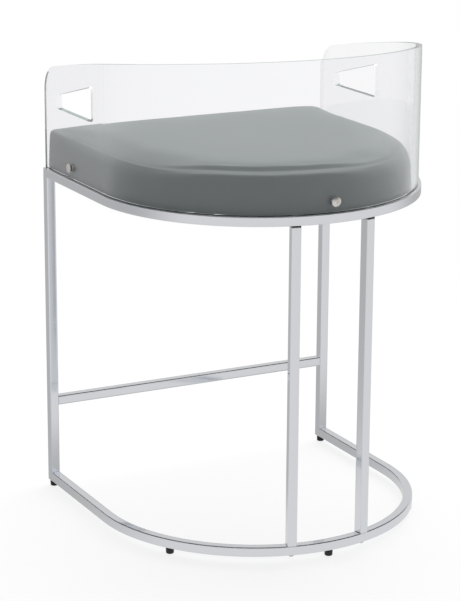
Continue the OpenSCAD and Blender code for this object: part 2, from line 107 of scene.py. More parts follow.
def add(tree, kind, inputs=None, **fields):
    """Adds a node. An input is a value, or a socket of another node to join to it."""
    node = tree.nodes.new("ShaderNode" + kind)
    for key, value in fields.items():
        setattr(node, key, value)
    for key, value in (inputs or {}).items():
        socket = node.inputs[key]
        if isinstance(value, bpy.types.NodeSocket):
            tree.links.new(value, socket)
        else:
            socket.default_value = value
    return node


def feed(tree, kind, inputs=None, **fields):
    """Adds a node and gives its first output, to feed another node."""
    return add(tree, kind, inputs, **fields).outputs[0]


def calc(tree, operation, *values):
    """One sum on up to three values."""
    return feed(tree, "Math", dict(enumerate(values)), operation=operation)


def between(tree, share, a, b):
    """A number that is a at share 0 and b at share 1."""
    return feed(tree, "Mix", {"Factor": share, "A": a, "B": b}, data_type="FLOAT")


def map_range(tree, value, low, high, to_low=0.0, to_high=1.0, soft=False):
    """Carries low..high over to to_low..to_high, on a soft curve if asked."""
    return feed(tree, "MapRange", {"Value": value, "From Min": low, "From Max": high,
                                   "To Min": to_low, "To Max": to_high},
                interpolation_type="SMOOTHSTEP" if soft else "LINEAR")


def ramp(tree, factor, stops):
    """A colour ramp through (place, hex colour) stops."""
    node = add(tree, "ValToRGB", {"Fac": factor})
    cells = node.color_ramp.elements
    while len(cells) < len(stops):
        cells.new(0.5)
    for cell, (at, code) in zip(cells, stops):
        cell.position = at
        cell.color = linear(code)
    return node.outputs["Color"]


print("node helpers ready")

# %% [markdown]
# The last helpers build whole materials: they start one, give a shallow bump, mix two
# surfaces, and close the tree with a surface. Every texture hangs on the object's own
# place, in metres, so a grain keeps its real size.

# %% Material helpers
def new_material(name):
    """An empty material, its tree, and the object's own place as a socket."""
    material = bpy.data.materials.new(name)
    material.use_nodes = True
    material.node_tree.nodes.clear()
    where = add(material.node_tree, "TexCoord").outputs["Object"]
    return material, material.node_tree, where


def relief(tree, height, strength, depth_mm, base=None):
    """The normal of a shallow bump. base is a normal to start from."""
    inputs = {"Height": height, "Strength": strength, "Distance": depth_mm * MM}
    if base is not None:
        inputs["Normal"] = base
    return feed(tree, "Bump", inputs)


def mix_surfaces(tree, share, a, b):
    """A surface that is a at share 0 and b at share 1."""
    return feed(tree, "MixShader", {"Fac": share, 1: a, 2: b})


def close(tree, surface):
    """Joins a surface to the material's output."""
    add(tree, "OutputMaterial", {"Surface": surface})


def close_plain(tree, colour, roughness, normal, more=None):
    """Closes a tree with one plain surface. more sets its other inputs."""
    close(tree, feed(tree, "BsdfPrincipled", {"Base Color": colour, "Roughness": roughness,
                                              "Normal": normal, **(more or {})}))


print("material helpers ready")

# %% [markdown]
# ## Studio
# A photographer shoots such a stool on a white sweep under big soft lamps. Here the
# sweep is a pale floor and a white world. Both look white to the camera and through the
# clear panel, but give the object only a plain level of light. What the metal mirrors is
# the studio round the sweep: grey walls, and a dark ceiling with a soft grey panel
# overhead. Without them chrome would vanish into the white. Light that has been mirrored
# more often, as inside the clear panel, comes from everywhere and so is pale.

# %% World
DOME = 0.39
MANY_TIMES = 3.5
PALE = 0.9
WALL, CEILING, OVERHEAD = 0.70, 0.02, 0.35
world = bpy.data.worlds.new("white_sweep")
bpy.context.scene.world = world
world.use_nodes = True
tree = world.node_tree
tree.nodes.clear()
path = add(tree, "LightPath").outputs
towards = add(tree, "TexCoord").outputs["Generated"]
up = add(tree, "SeparateXYZ", {"Vector": towards}).outputs["Z"]
# The ceiling begins a quarter of the way up, and the panel fills the sky's top
mirrored = calc(tree, "ADD", map_range(tree, up, 0.37, 0.43, WALL, CEILING, soft=True),
                map_range(tree, up, 0.88, 0.98, 0.0, OVERHEAD, soft=True))
often = calc(tree, "GREATER_THAN", path["Ray Depth"], MANY_TIMES)
mirrored = between(tree, often, mirrored, PALE)
seen = calc(tree, "MAXIMUM", path["Is Camera Ray"], path["Is Transmission Ray"])
unseen = between(tree, path["Is Glossy Ray"], DOME, mirrored)
strength = between(tree, seen, unseen, 1.0)
light = feed(tree, "Background", {"Color": WHITE, "Strength": strength})
add(tree, "OutputWorld", {"Surface": light})
bpy.context.scene.view_settings.view_transform = "Standard"
print("world gives", DOME)

# %% [markdown]
# Two large lamps light the stool, one high over the sitter's right front and a weaker
# one low on the right. Area lamps would do, but a far lamp with a wide angle lights the
# whole object alike and its shadow stays soft. Neither shows in the metal, which
# mirrors the studio above.

# %% Lamps
def soft_lamp(name, towards, power, spread):
    """A far, large soft lamp. towards points from the object to the lamp."""
    data = bpy.data.lights.new(name, "SUN")
    data.energy = power
    data.angle = math.radians(spread)
    lamp = bpy.data.objects.new(name, data)
    bpy.context.scene.collection.objects.link(lamp)
    lamp.rotation_euler = Vector(towards).to_track_quat("Z", "Y").to_euler()
    lamp.visible_glossy = False


soft_lamp("top_lamp", (-0.35, -0.5, 0.9), 2.05, 60)
soft_lamp("right_lamp", (-0.9, 0.12, 0.28), 0.6, 50)
print("two lamps")

# %% [markdown]
# The sweep's floor takes the object's shadow near the stool, because part of its
# brightness there is real light, and fades to pure white farther out. Metal sees it as
# grey paper, brighter behind the stool and darker in front of it.

# %% Floor
FLOOR_R = 14
NEAR_R, WHITE_R = 0.5, 1.3
LIFT = 0.8
FRONT_LEVEL, BACK_LEVEL = 0.50, 0.76
bpy.ops.object.select_all(action="DESELECT")
bpy.ops.mesh.primitive_circle_add(vertices=96, radius=FLOOR_R, fill_type="NGON", location=(0, 0, 0))
floor = bpy.context.object
floor.name = "pale_floor"
sweep, tree, where = new_material("pale_sweep")
path = add(tree, "LightPath").outputs
seen = calc(tree, "MAXIMUM", path["Is Camera Ray"], path["Is Transmission Ray"])
far = add(tree, "VectorMath", {0: where}, operation="LENGTH").outputs["Value"]
shaded = feed(tree, "BsdfDiffuse", {"Color": (0.22, 0.22, 0.22, 1)})
lift = feed(tree, "Emission", {"Color": WHITE, "Strength": LIFT})
near = feed(tree, "AddShader", {0: shaded, 1: lift})
white = feed(tree, "Emission", {"Color": WHITE, "Strength": 1.0})
shown = mix_surfaces(tree, map_range(tree, far, NEAR_R, WHITE_R, soft=True), near, white)
# How far behind the stool a place lies, as a share of its distance
behind = add(tree, "VectorMath", {0: where, 1: (0, 1, 0)}, operation="DOT_PRODUCT").outputs["Value"]
share = calc(tree, "DIVIDE", behind, calc(tree, "ADD", far, 0.3))
level = map_range(tree, share, -0.4, 0.35, FRONT_LEVEL, BACK_LEVEL, soft=True)
often = calc(tree, "GREATER_THAN", path["Ray Depth"], MANY_TIMES)
level = between(tree, often, level, PALE)
mirrored = feed(tree, "Emission", {"Color": WHITE, "Strength": level})
paper = feed(tree, "BsdfDiffuse", {"Color": linear("acacac")})
unseen = mix_surfaces(tree, path["Is Glossy Ray"], paper, mirrored)
close(tree, mix_surfaces(tree, seen, unseen, shown))
floor.data.materials.append(sweep)
print("floor is a disc of", floor.dimensions.x, "m")

# %% [markdown]
# ## Metals
# The frame is welded from square steel tube, ground flush, polished and chrome plated.
# To the eye it is a slightly blue mirror, a little softened, with faint waves where the
# wheel passed. Its roughness and a very shallow bump vary over a few centimetres. Real
# tube has rounded edges, which mirror the dark ceiling as a thin dark line. The CAD
# tubes are sharp and may not be changed, so a Bevel node rounds them to the eye alone.

# %% Chrome tube
def metal(name, colour, roughness, spread, wave_mm, height_mm, stretch=(1, 1, 1), edge_mm=0.0):
    """A bare or plated metal. Its gloss varies by spread over patches of wave_mm, stretch draws
    the patches out, and edge_mm rounds its edges to the eye."""
    material, tree, where = new_material(name)
    turned = feed(tree, "Mapping", {"Vector": where, "Scale": stretch})
    patch = feed(tree, "TexNoise", {"Vector": turned, "Scale": 1 / (wave_mm * MM), "Detail": 3.0,
                                    "Roughness": 0.55})
    gloss = map_range(tree, patch, 0.3, 0.7, roughness - spread, roughness + spread)
    rounded = feed(tree, "Bevel", {"Radius": edge_mm * MM}, samples=8) if edge_mm else None
    normal = relief(tree, patch, 0.5, height_mm, rounded)
    close_plain(tree, linear(colour), gloss, normal, {"Metallic": 1.0})
    return material


finishes = {}
# Polishing waves are about 40 mm long and far too shallow to measure
finishes["chrome_tube"] = metal("chrome_plated_steel", "e9ebef", 0.06, 0.01, 40, 0.02, edge_mm=3.0)
print("chrome ready")

# %% [markdown]
# The small metal pieces are not chrome. Screws and studs are bright zinc, which is a
# little greyer and softer. Nuts inside the tubes are plain zinc with a mottled bloom.
# The domed screws of the panel are satin nickel, turned and then brushed, so they are
# warm and matt. The threaded inserts in the wood are turned brass.

# %% Small metals
finishes["bright_steel"] = metal("bright_zinc_plated_steel", "b9bcbf", 0.24, 0.06, 2.5, 0.02)
finishes["zinc_steel"] = metal("dull_zinc_plated_steel", "a3a7a8", 0.38, 0.10, 3, 0.03)
# Brushing lines are drawn about 0.6 mm apart, coarser than the real ones, so that they show
finishes["satin_nickel"] = metal("brushed_satin_nickel", "ebe8e3", 0.45, 0.06, 0.6, 0.03, (1, 1, 6))
finishes["brass_insert"] = metal("turned_brass", "b99a55", 0.30, 0.06, 1.0, 0.02, (1, 1, 4))
print(len(finishes), "metals")

# %% [markdown]
# ## Rubber and plastic
# The gaskets on the rear legs are punched from black rubber sheet, and the feet are
# moulded in black nylon. Both are dark and matt; the feet have a fine moulded grain and
# the rubber is duller, with a dusty bloom.

# %% Black pieces
GLOSS_SPREAD = 0.08


def black_moulded(name, colour, dusty, roughness, grain_mm, height_mm):
    """A matt black piece whose colour drifts to a dusty one, with a fine grain."""
    material, tree, where = new_material(name)
    cloud = feed(tree, "TexNoise", {"Vector": where, "Scale": 90.0, "Detail": 4.0})
    grain = feed(tree, "TexVoronoi", {"Vector": where, "Scale": 1 / (grain_mm * MM)})
    tone = ramp(tree, cloud, [(0.35, colour), (0.75, dusty)])
    gloss = map_range(tree, cloud, 0.0, 1.0, roughness - GLOSS_SPREAD, roughness + GLOSS_SPREAD)
    close_plain(tree, tone, gloss, relief(tree, grain, 0.4, height_mm), {"IOR": 1.5})
    return material


finishes["black_rubber"] = black_moulded("black_rubber_sheet", "141414", "232322", 0.78,
                                         grain_mm=0.7, height_mm=0.05)
finishes["black_plastic"] = black_moulded("black_moulded_nylon", "17181a", "242527", 0.48,
                                          grain_mm=0.9, height_mm=0.04)
print("black pieces ready")

# %% [markdown]
# ## Wood, foam and cloth
# The seat's base is birch plywood: thin plies that show as stripes on the edge, and a
# long soft grain on the faces. An image of wood would do too, but a sine over the
# height gives the plies their real thickness on every edge.

# %% Plywood
# Plies are 1.4 mm thick, so a light and a dark one repeat every 2.8 mm
PLY_PAIR = 2.8 * MM
ply, tree, where = new_material("birch_plywood")
height = add(tree, "SeparateXYZ", {"Vector": where}).outputs["Z"]
stripe = calc(tree, "SINE", calc(tree, "MULTIPLY", height, 2 * math.pi / PLY_PAIR))
long_way = feed(tree, "Mapping", {"Vector": where, "Scale": (1, 14, 14)})
grain = feed(tree, "TexNoise", {"Vector": long_way, "Scale": 22.0, "Detail": 6.0, "Roughness": 0.6})
mixed = calc(tree, "MULTIPLY_ADD", stripe, 0.16, grain)
wood = ramp(tree, mixed, [(0.2, "a9845a"), (0.5, "cbaa7c"), (0.8, "dcc298")])
close_plain(tree, wood, 0.7, relief(tree, mixed, 0.3, 0.1), {"IOR": 1.5})
finishes["plywood"] = ply
print("plywood ready")

# %% [markdown]
# The foam is pale cut foam with open cells. The cloth under the seat is black
# spun-bonded felt, pressed with a fine dot pattern. Both are cell patterns at their
# real size: cells spread at random for the foam, and nearly in rows for the cloth.

# %% Foam and dust cover cloth
foam, tree, where = new_material("cut_foam")
# Cells are about 1 mm across
cells = feed(tree, "TexVoronoi", {"Vector": where, "Scale": 1 / MM})
tone = ramp(tree, cells, [(0.0, "c9bd92"), (0.6, "ece3c2")])
close_plain(tree, tone, 0.95, relief(tree, cells, 0.8, 0.5))
finishes["foam"] = foam

felt, tree, where = new_material("spun_bonded_cloth")
# The bonding dots stand about 2 mm apart, and the fibres are far finer
dots = feed(tree, "TexVoronoi", {"Vector": where, "Scale": 1 / (2 * MM), "Randomness": 0.15})
fibre = feed(tree, "TexNoise", {"Vector": where, "Scale": 900.0, "Detail": 5.0})
tone = ramp(tree, fibre, [(0.3, "111111"), (0.75, "2b2b2b")])
close_plain(tree, tone, 0.9, relief(tree, dots, 0.6, 0.2), {"Sheen Weight": 0.3})
finishes["black_cloth"] = felt
print("foam and cloth ready")

# %% [markdown]
# ## Upholstery
# The cover is soft coated leathercloth in cool grey. It is nearly plain: a very fine
# pebble grain, and a satin gloss and a tone that are uneven over a hand's width.

# %% Grey leathercloth
PEBBLE = 0.9 * MM
leather, tree, where = new_material("grey_leathercloth")
pebble = feed(tree, "TexVoronoi", {"Vector": where, "Scale": 1 / PEBBLE}, feature="SMOOTH_F1")
wide = feed(tree, "TexNoise", {"Vector": where, "Scale": 9.0, "Detail": 3.0})
tone = ramp(tree, wide, [(0.3, "8b9291"), (0.7, "919897")])
gloss = map_range(tree, wide, 0.3, 0.7, 0.40, 0.50)
close_plain(tree, tone, gloss, relief(tree, pebble, 0.25, 0.12),
            {"IOR": 1.48, "Sheen Weight": 0.08, "Sheen Roughness": 0.4})
finishes["grey_leather"] = leather
print("leathercloth ready")

# %% [markdown]
# ## Clear pieces
# The panel is cast acrylic sheet, bent hot round a form, with flame-polished edges. It
# is clear, and light that has run along the sheet comes out of its edges grey-green.
# Lamps reach the seat through it, so it lets shadow rays and bounced light straight on.
# Its colour gets a painted shade, darker towards the sitter's left, from how light falls there.

# %% Acrylic
LONG_RUN = 2.5


def clear(name, tints_and_painted_shade, through, run_tint, roughness, wave_mm):
    """A clear plastic whose colour runs between two given ends, from the sitter's right to the
    left. Where the ends differ, the darker one on the left is a painted shade for how light falls
    on that side of the sheet.
    through colours the light that passes straight on, and run_tint what runs along inside."""
    material, tree, where = new_material(name)
    path = add(tree, "LightPath").outputs
    straight = calc(tree, "MAXIMUM", path["Is Shadow Ray"], path["Is Diffuse Ray"])
    # Light that has been mirrored inside three times has run along the sheet
    long_run = calc(tree, "GREATER_THAN", path["Glossy Depth"], LONG_RUN)
    wave = feed(tree, "TexNoise", {"Vector": where, "Scale": 1 / (wave_mm * MM)})
    across = add(tree, "SeparateXYZ", {"Vector": where}).outputs["X"]
    # Painted shade: the colour is made a little darker towards the sitter's left, for how light
    # falls on that side of the sheet, not a tint the sheet has
    shade_across = map_range(tree, across, -SEAT_HALF_W, SEAT_HALF_W)
    glass = feed(tree, "BsdfPrincipled", {
        "Base Color": ramp(tree, shade_across, [(0, tints_and_painted_shade[0]), (1, tints_and_painted_shade[1])]), "Roughness": roughness,
        "IOR": 1.49, "Transmission Weight": 1.0, "Specular Tint": (0.5, 0.5, 0.5, 1),
        "Normal": relief(tree, wave, 0.1, 0.2)})
    air = feed(tree, "BsdfTransparent", {"Color": linear(through)})
    edge = feed(tree, "BsdfTransparent", {"Color": linear(run_tint)})
    close(tree, mix_surfaces(tree, long_run, mix_surfaces(tree, straight, glass, air), edge))
    return material


# The acrylic's two colours are a painted shade across the panel, darker on the sitter's left; the
# vinyl has one colour
finishes["clear_acrylic"] = clear("cast_acrylic", ("fafafb", "f5f5f7"), "f4f5f6", "b4c6c1", 0.0, 60)
finishes["clear_washer"] = clear("clear_vinyl", ("f0f2f2", "f0f2f2"), "f0f2f2", "d8dcdc", 0.12, 4)
print("clear plastics ready")

# %% [markdown]
# Each CAD piece names its material slot in the record, so one loop gives all of them
# their finish.

# %% Finishes onto the CAD pieces
slot_of = {row["node"]: row["material_slot"] for row in frame["record"]["subparts"]}
for name, piece in nodes.items():
    for slot in piece.material_slots:
        slot.material = finishes[slot_of[name]]
print(len(set(slot_of.values())), "finishes on", len(slot_of), "pieces")

# %% [markdown]
# ## Modelling helpers
# The soft pieces are modelled as by hand: a primitive, then edit mode, then modifiers.
# Points, edges and faces are picked by their place.

# %% Edit helpers
def only(piece):
    """Selects one object alone and makes it the active one."""
    bpy.ops.object.select_all(action="DESELECT")
    piece.select_set(True)
    bpy.context.view_layer.objects.active = piece


def apply_modifier(piece, kind, **fields):
    """Gives a piece a modifier, sets its fields and applies it."""
    only(piece)
    bpy.ops.object.modifier_add(type=kind)
    modifier = piece.modifiers[-1]
    for key, value in fields.items():
        setattr(modifier, key, value)
    bpy.ops.object.modifier_apply(modifier=modifier.name)


def pick(piece, kind, test):
    """In edit mode, selects the points, edges or faces that pass the test."""
    bpy.ops.mesh.select_mode(type=kind)
    bpy.ops.mesh.select_all(action="DESELECT")
    bm = bmesh.from_edit_mesh(piece.data)
    for row in {"VERT": bm.verts, "EDGE": bm.edges, "FACE": bm.faces}[kind]:
        if test(row):
            row.select_set(True)
    bmesh.update_edit_mesh(piece.data)


print("edit helpers ready")

# %% [markdown]
# Both soft pieces start from the same flat D. Half a disc is drawn out to the front in
# steps, so that its straight sides have as many points as the round back.

# %% The flat D
TINY = 1e-5


def d_face(name, half_w, front, z, corner, side_steps, front_steps):
    """A flat D in plan: half a disc, drawn out to the front, with rounded front corners."""
    bpy.ops.object.select_all(action="DESELECT")
    bpy.ops.mesh.primitive_circle_add(vertices=192, radius=half_w, fill_type="NGON",
                                      location=(0, ARC_Y, z))
    piece = bpy.context.object
    piece.name = name
    bpy.ops.object.transform_apply(location=True, rotation=True, scale=True)
    bpy.ops.object.mode_set(mode="EDIT")
    bpy.ops.mesh.select_all(action="SELECT")
    bpy.ops.mesh.bisect(plane_co=(0, ARC_Y, z), plane_no=(0, 1, 0), clear_inner=True)
    step = (front - ARC_Y) / side_steps
    for k in range(side_steps):
        edge_y = ARC_Y + k * step
        pick(piece, "EDGE", lambda e: all(abs(v.co.y - edge_y) < TINY for v in e.verts))
        bpy.ops.mesh.extrude_region_move(TRANSFORM_OT_translate={"value": (0, step, 0)})
    bpy.ops.mesh.select_all(action="SELECT")
    bpy.ops.mesh.dissolve_faces(use_verts=False)
    pick(piece, "VERT", lambda v: abs(v.co.y - front) < TINY)
    bpy.ops.mesh.bevel(offset=corner, segments=6, affect="VERTICES")
    pick(piece, "EDGE", lambda e: all(abs(v.co.y - front) < TINY for v in e.verts)
         and e.calc_length() > half_w)
    bpy.ops.mesh.subdivide(number_cuts=front_steps - 1)
    bpy.ops.object.mode_set(mode="OBJECT")
    return piece


print("flat D ready")

# %% [markdown]
# ## Cushion
# The real seat is a block of foam glued on the plywood, under one cover that is pulled
# down over it and stapled below. Round the back the foam is stiff at its edge, so the
# cover makes a narrow ledge with a crisp rim, and the crown rises from the ledge in a
# short step. Along the sides the edge is softer and rolls over in one wide curve, and
# the same has happened to the ledge on the sitter's right. It could be a bevelled block,
# but the ledge fades out, so the cushion is made of rings: the D is extruded up and
# scaled in, ring after ring, and each ring is then set to the section its place has.

# %% Sections of the cushion
# (inset from the outline, height above the rail) in mm, from the bottom edge up
HARD = [(0.7, 0), (0.2, 0.3), (0.0, 1.2), (0.2, 12), (0.5, 24), (0.9, 36), (1.4, 46), (1.9, 53.5),
        (2.5, 58.8), (3.3, 62.2), (4.5, 64.2), (6.2, 65.3), (8.4, 66.2), (10.6, 67.0), (13.0, 67.8)]
SOFT = [(0.7, 0), (0.2, 0.3), (0.0, 1.2), (0.2, 10), (0.5, 18), (0.9, 26), (1.5, 33), (2.3, 39.5),
        (3.3, 45), (4.5, 49.5), (5.9, 53), (7.4, 55.8), (9.1, 58.3), (10.9, 60.4), (13.0, 62.3)]
FRONT = [(0.7, 0), (0.2, 0.3), (0.0, 1.2), (0.1, 14), (0.2, 27), (0.4, 39), (0.7, 49), (1.1, 56),
         (1.8, 60.5), (3.0, 63.4), (4.6, 65.0), (6.4, 65.9), (8.4, 66.5), (10.6, 67.0),
         (13.0, 67.5)]
SECTIONS = (HARD, SOFT, FRONT)
LAST_INSET = 13


def smooth(low, high, x):
    """0 below low, 1 above high, and an even curve between."""
    t = min(max((x - low) / (high - low), 0), 1)
    return t * t * (3 - 2 * t)


def shares(x, y):
    """How much of the three sections a place has: stiff back, soft side, square front."""
    angle = math.degrees(math.atan2(x, y - ARC_Y))
    # The stiff edge has gone soft on the sitter's right
    hard = (0.2 + 0.8 * smooth(-22, 6, angle)) * (1 - smooth(38, 70, abs(angle)))
    square = 1 - smooth(-262 * MM, -125 * MM, y)
    return hard, (1 - hard) * (1 - square), (1 - hard) * square


print("the rim is", HARD[-1][1], "mm high at the back")

# %% [markdown]
# Inside the sections' last row, the crown's height follows from the distance to the
# outline: steep at first, then ever flatter, as a well-filled cushion is.

# %% Crown
def rise(past, height, length):
    """A rise that starts at 0, slows down over the length, and ends at the height."""
    return height * (1 - math.exp(-past / length))


def crown_height(inset, kinds):
    """Height of the crown over the rail in mm, at an inset in mm from the outline."""
    hard_top, soft_top, front_top = [section[-1][1] for section in SECTIONS]
    past = inset - LAST_INSET
    step = hard_top + 7.4 * smooth(13.6, 20.6, inset) + rise(max(inset - 19, 0), 5.0, 40)
    roll = soft_top + rise(past, 17.7, 24)
    brow = front_top + rise(past, 12.5, 46)
    return sum(kind * height for kind, height in zip(kinds, (step, roll, brow)))


print("crown reaches", round(crown_height(250, (1, 0, 0)), 1), "mm")

# %% [markdown]
# The rings are extruded 1 mm apart for now, so that a point's height tells its ring.
# The first ones are the sections' rows. The others are scaled in to make the crown, and
# lie close together over the step of the ledge.

# %% Rings
CENTRE = Vector((0, -45 * MM, 0))
RINGS_IN, STEP_RINGS = 36, 6
RING_GAP, GAP_GROWTH, REACH = 1.1, 1.112, 258
cushion = d_face("cushion", SEAT_HALF_W, SEAT_FRONT_Y, SEAT_Z, CORNER_R, 27, 54)
bpy.ops.object.mode_set(mode="EDIT")
bpy.ops.mesh.select_mode(type="FACE")
bpy.ops.mesh.select_all(action="SELECT")
gaps = [RING_GAP] * STEP_RINGS
gaps += [RING_GAP * GAP_GROWTH ** k for k in range(1, RINGS_IN - STEP_RINGS + 1)]
top_scales = [1 - sum(gaps[:k]) / REACH for k in range(1, RINGS_IN + 1)]
ring_scales = [1.0] * len(HARD) + top_scales
scale_now = 1.0
for scale in ring_scales[1:]:
    bpy.ops.mesh.extrude_region_move(TRANSFORM_OT_translate={"value": (0, 0, 1 * MM)})
    shrink = scale / scale_now
    bpy.ops.transform.resize(value=(shrink, shrink, 1), center_override=CENTRE)
    scale_now = scale
print("rings:", len(ring_scales))

# %% [markdown]
# The underside is made of rings too: the hem that is turned in below, then the pocket
# that the plywood board and its rim fill. The pocket's edges are creased, so that they
# stay sharp when the mesh is made finer.

# %% Rings of the underside
# (inset, height) in mm, from the bottom edge inwards
BELOW = [(9, 0), (17, 0), (24, 0), (24, 1.0), (6.0, 1.05), (6.0, 29.8), (18.9, 29.8), (18.9, 11.6)]
FIRST_SHARP = 3
LEVEL = 0.1 * MM
pick(cushion, "FACE", lambda f: f.calc_center_median().z < SEAT_Z + LEVEL)
for row in BELOW:
    bpy.ops.mesh.extrude_region_move(TRANSFORM_OT_translate={"value": (0, 0, -1 * MM)})
pick(cushion, "EDGE", lambda e: all(v.co.z < SEAT_Z - (FIRST_SHARP - 0.5) * MM for v in e.verts)
     and abs(e.verts[0].co.z - e.verts[1].co.z) < LEVEL)
bpy.ops.transform.edge_crease(value=1)
bpy.ops.mesh.select_all(action="SELECT")
bpy.ops.mesh.normals_make_consistent(inside=False)
bpy.ops.object.mode_set(mode="OBJECT")
print("cushion has", len(cushion.data.vertices), "points")

# %% [markdown]
# Two helpers say where a place lies in the D: one moves a point of the outline inwards,
# square to it, and one measures the distance to the outline.

# %% Places in the D
LEAST_R = 3 * MM


def inset_place(x, y, inset):
    """The place on the D's outline moved in by inset, in metres, round the corners too."""
    cx, cy = SEAT_HALF_W - CORNER_R, SEAT_FRONT_Y + CORNER_R
    if y > ARC_Y:
        r = math.hypot(x, y - ARC_Y)
        out = Vector((x / r, (y - ARC_Y) / r, 0))
        return out * (SEAT_HALF_W - inset) + Vector((0, ARC_Y, 0))
    if abs(x) > cx and y < cy:
        out = Vector((abs(x) - cx, y - cy, 0)).normalized()
        radius = max(CORNER_R - inset, LEAST_R)
        more = max(inset - CORNER_R + LEAST_R, 0)
        corner = Vector((cx - more, cy + more, 0)) + out * radius
        return Vector((math.copysign(corner.x, x), corner.y, 0))
    if SEAT_HALF_W - abs(x) < y - SEAT_FRONT_Y:
        return Vector((math.copysign(SEAT_HALF_W - inset, x), max(y, SEAT_FRONT_Y + inset), 0))
    reach = SEAT_HALF_W - max(inset, CORNER_R)
    return Vector((x * reach / cx, SEAT_FRONT_Y + inset, 0))


def edge_distance(x, y):
    """Distance from the outline in mm, rounded off where the front and a side are as near."""
    side = SEAT_HALF_W - (math.hypot(x, y - ARC_Y) if y > ARC_Y else abs(x))
    side, ahead = max(side, 0) / MM, max(y - SEAT_FRONT_Y, 0) / MM
    near, blend = min(side, ahead), 26.0
    dip = 0.6 * blend * math.log(1 + math.exp(-abs(side - ahead) / blend))
    return near - dip * smooth(12, 60, near)


print("the middle is", round(edge_distance(0, 0)), "mm from the edge")

# %% [markdown]
# Now each point finds its ring, its section and so its place. The cover's turned edge
# hangs a little into the rail, but not over the front rail and the four tabs, which
# carry the seat.

# %% Rings to their sections
SAG = 1.2
TAB_END, TAB_FREE = 22, 32
TABS = [Vector((side * x, y, 0)) * MM for side in (-1, 1) for x, y in ((269, -171), (190, 175))]
rest = []
for v in cushion.data.vertices:
    ring = round((v.co.z - SEAT_Z) / MM)
    scale = ring_scales[ring] if ring > 0 else 1.0
    x, y = (CENTRE + (v.co - CENTRE) / scale).xy
    kinds = shares(x, y)
    if ring < 0:
        inset, height = BELOW[-ring - 1]
    else:
        rows = [section[min(ring, len(section) - 1)] for section in SECTIONS]
        inset, height = [sum(kind * row[k] for kind, row in zip(kinds, rows)) for k in (0, 1)]
    place = inset_place(x, y, inset * MM)
    if ring == 0:
        tab_gap = min((place - tab).length for tab in TABS) / MM
        height = -SAG * (1 - kinds[2]) * smooth(TAB_END, TAB_FREE, tab_gap)
    if ring >= len(HARD):
        place = CENTRE + (place - CENTRE) * scale
        height = crown_height(max(edge_distance(place.x, place.y), LAST_INSET), kinds)
    v.co = (place.x, place.y, SEAT_Z + height * MM)
    rest.append(v.co.copy())
print("cushion rises to", round(max(p.z for p in rest), 4), "m")

# %% [markdown]
# The form above is still too even. A cloth simulation with a little air pressure inside
# makes the cover swell as foam pushes on it. The lower half is pinned, as it is glued
# and stapled there, and no point may move more than a few millimetres, because the
# clear panel stands 2 mm off the sides. Sculpting would do too, but air pressure swells
# each part by as much as its form lets it.

# %% Swelling
SWELL_CAP = 5 * MM
SWELL_FRAMES = 20
PULLS = 14
outer = [v.index for v in cushion.data.vertices
         if (v.co.z > SEAT_Z + 1.1 * MM and edge_distance(v.co.x, v.co.y) < 5.5)
         or v.co.z > SEAT_Z + 45 * MM]
held = cushion.vertex_groups.new(name="held")
held.add(range(len(cushion.data.vertices)), 1.0, "REPLACE")
for i in outer:
    held.add([i], 1 - smooth(20, 52, (rest[i].z - SEAT_Z) / MM), "REPLACE")
only(cushion)
bpy.ops.object.modifier_add(type="CLOTH")
cloth = cushion.modifiers[-1]
cloth.settings.vertex_group_mass = "held"
cloth.settings.use_pressure = True
cloth.settings.uniform_pressure_force = 4
cloth.settings.effector_weights.gravity = 0
cloth.settings.quality = 6
for k in range(1, SWELL_FRAMES + 1):
    bpy.context.scene.frame_set(k)
bpy.ops.object.modifier_apply(modifier=cloth.name)
bpy.context.scene.frame_set(1)
cushion.vertex_groups.clear()
moves = [v.co - was for v, was in zip(cushion.data.vertices, rest)]
moves = [move * min(1, SWELL_CAP / max(move.length, 1e-9)) for move in moves]
# The cover pulls small folds flat, so each point takes its neighbours' mean, many times
for pull in range(PULLS):
    sums, counts = [Vector() for move in moves], [0] * len(moves)
    for a, b in (edge.vertices for edge in cushion.data.edges):
        sums[a] += moves[b]
        sums[b] += moves[a]
        counts[a] += 1
        counts[b] += 1
    moves = [0.5 * move + 0.5 * total / max(count, 1)
             for move, total, count in zip(moves, sums, counts)]
# The stiff rim keeps its form, and the crown takes half of the swelling
for v, was, move in zip(cushion.data.vertices, rest, moves):
    inner = smooth(0, 30, edge_distance(was.x, was.y))
    hard = shares(was.x, was.y)[0]
    v.co = was + move * (0.5 * inner + 0.25 * (1 - inner) * (1 - hard))
moved = [(v.co - was).length for v, was in zip(cushion.data.vertices, rest)]
print("swelled by up to", round(max(moved) / MM, 2), "mm")

# %% [markdown]
# Foam is never quite even under a cover. Soft noise presses the outside in by a few
# tenths of a millimetre, and one subdivision then rounds the mesh.

# %% Small unevenness, then one subdivision
SIDE_LIMIT = SEAT_HALF_W + 0.4 * MM
UNEVEN = 0.35 * MM
for i in outer:
    v = cushion.data.vertices[i]
    x, y, z = v.co
    calm = smooth(4, 30, (z - SEAT_Z) / MM)
    wave = UNEVEN * (1 + noise.noise(Vector((x * 14, y * 14, z * 20)))) * calm
    out = Vector((x, max(y, ARC_Y) - ARC_Y, 0))
    if z > SEAT_Z + 62 * MM:
        v.co.z -= wave
    elif out.length > SEAT_HALF_W - 12 * MM:
        v.co -= out.normalized() * max(wave, out.length - SIDE_LIMIT)
apply_modifier(cushion, "SUBSURF", levels=1, render_levels=1, use_limit_surface=False)
print("cushion has", len(cushion.data.polygons), "faces")

# %% [markdown]
# Screws pass through both soft pieces, so both need round holes. A rod is made for each
# hole, the rods are joined, and one boolean cuts them all. Each finished piece is then
# given its material and rides on the stool's body.

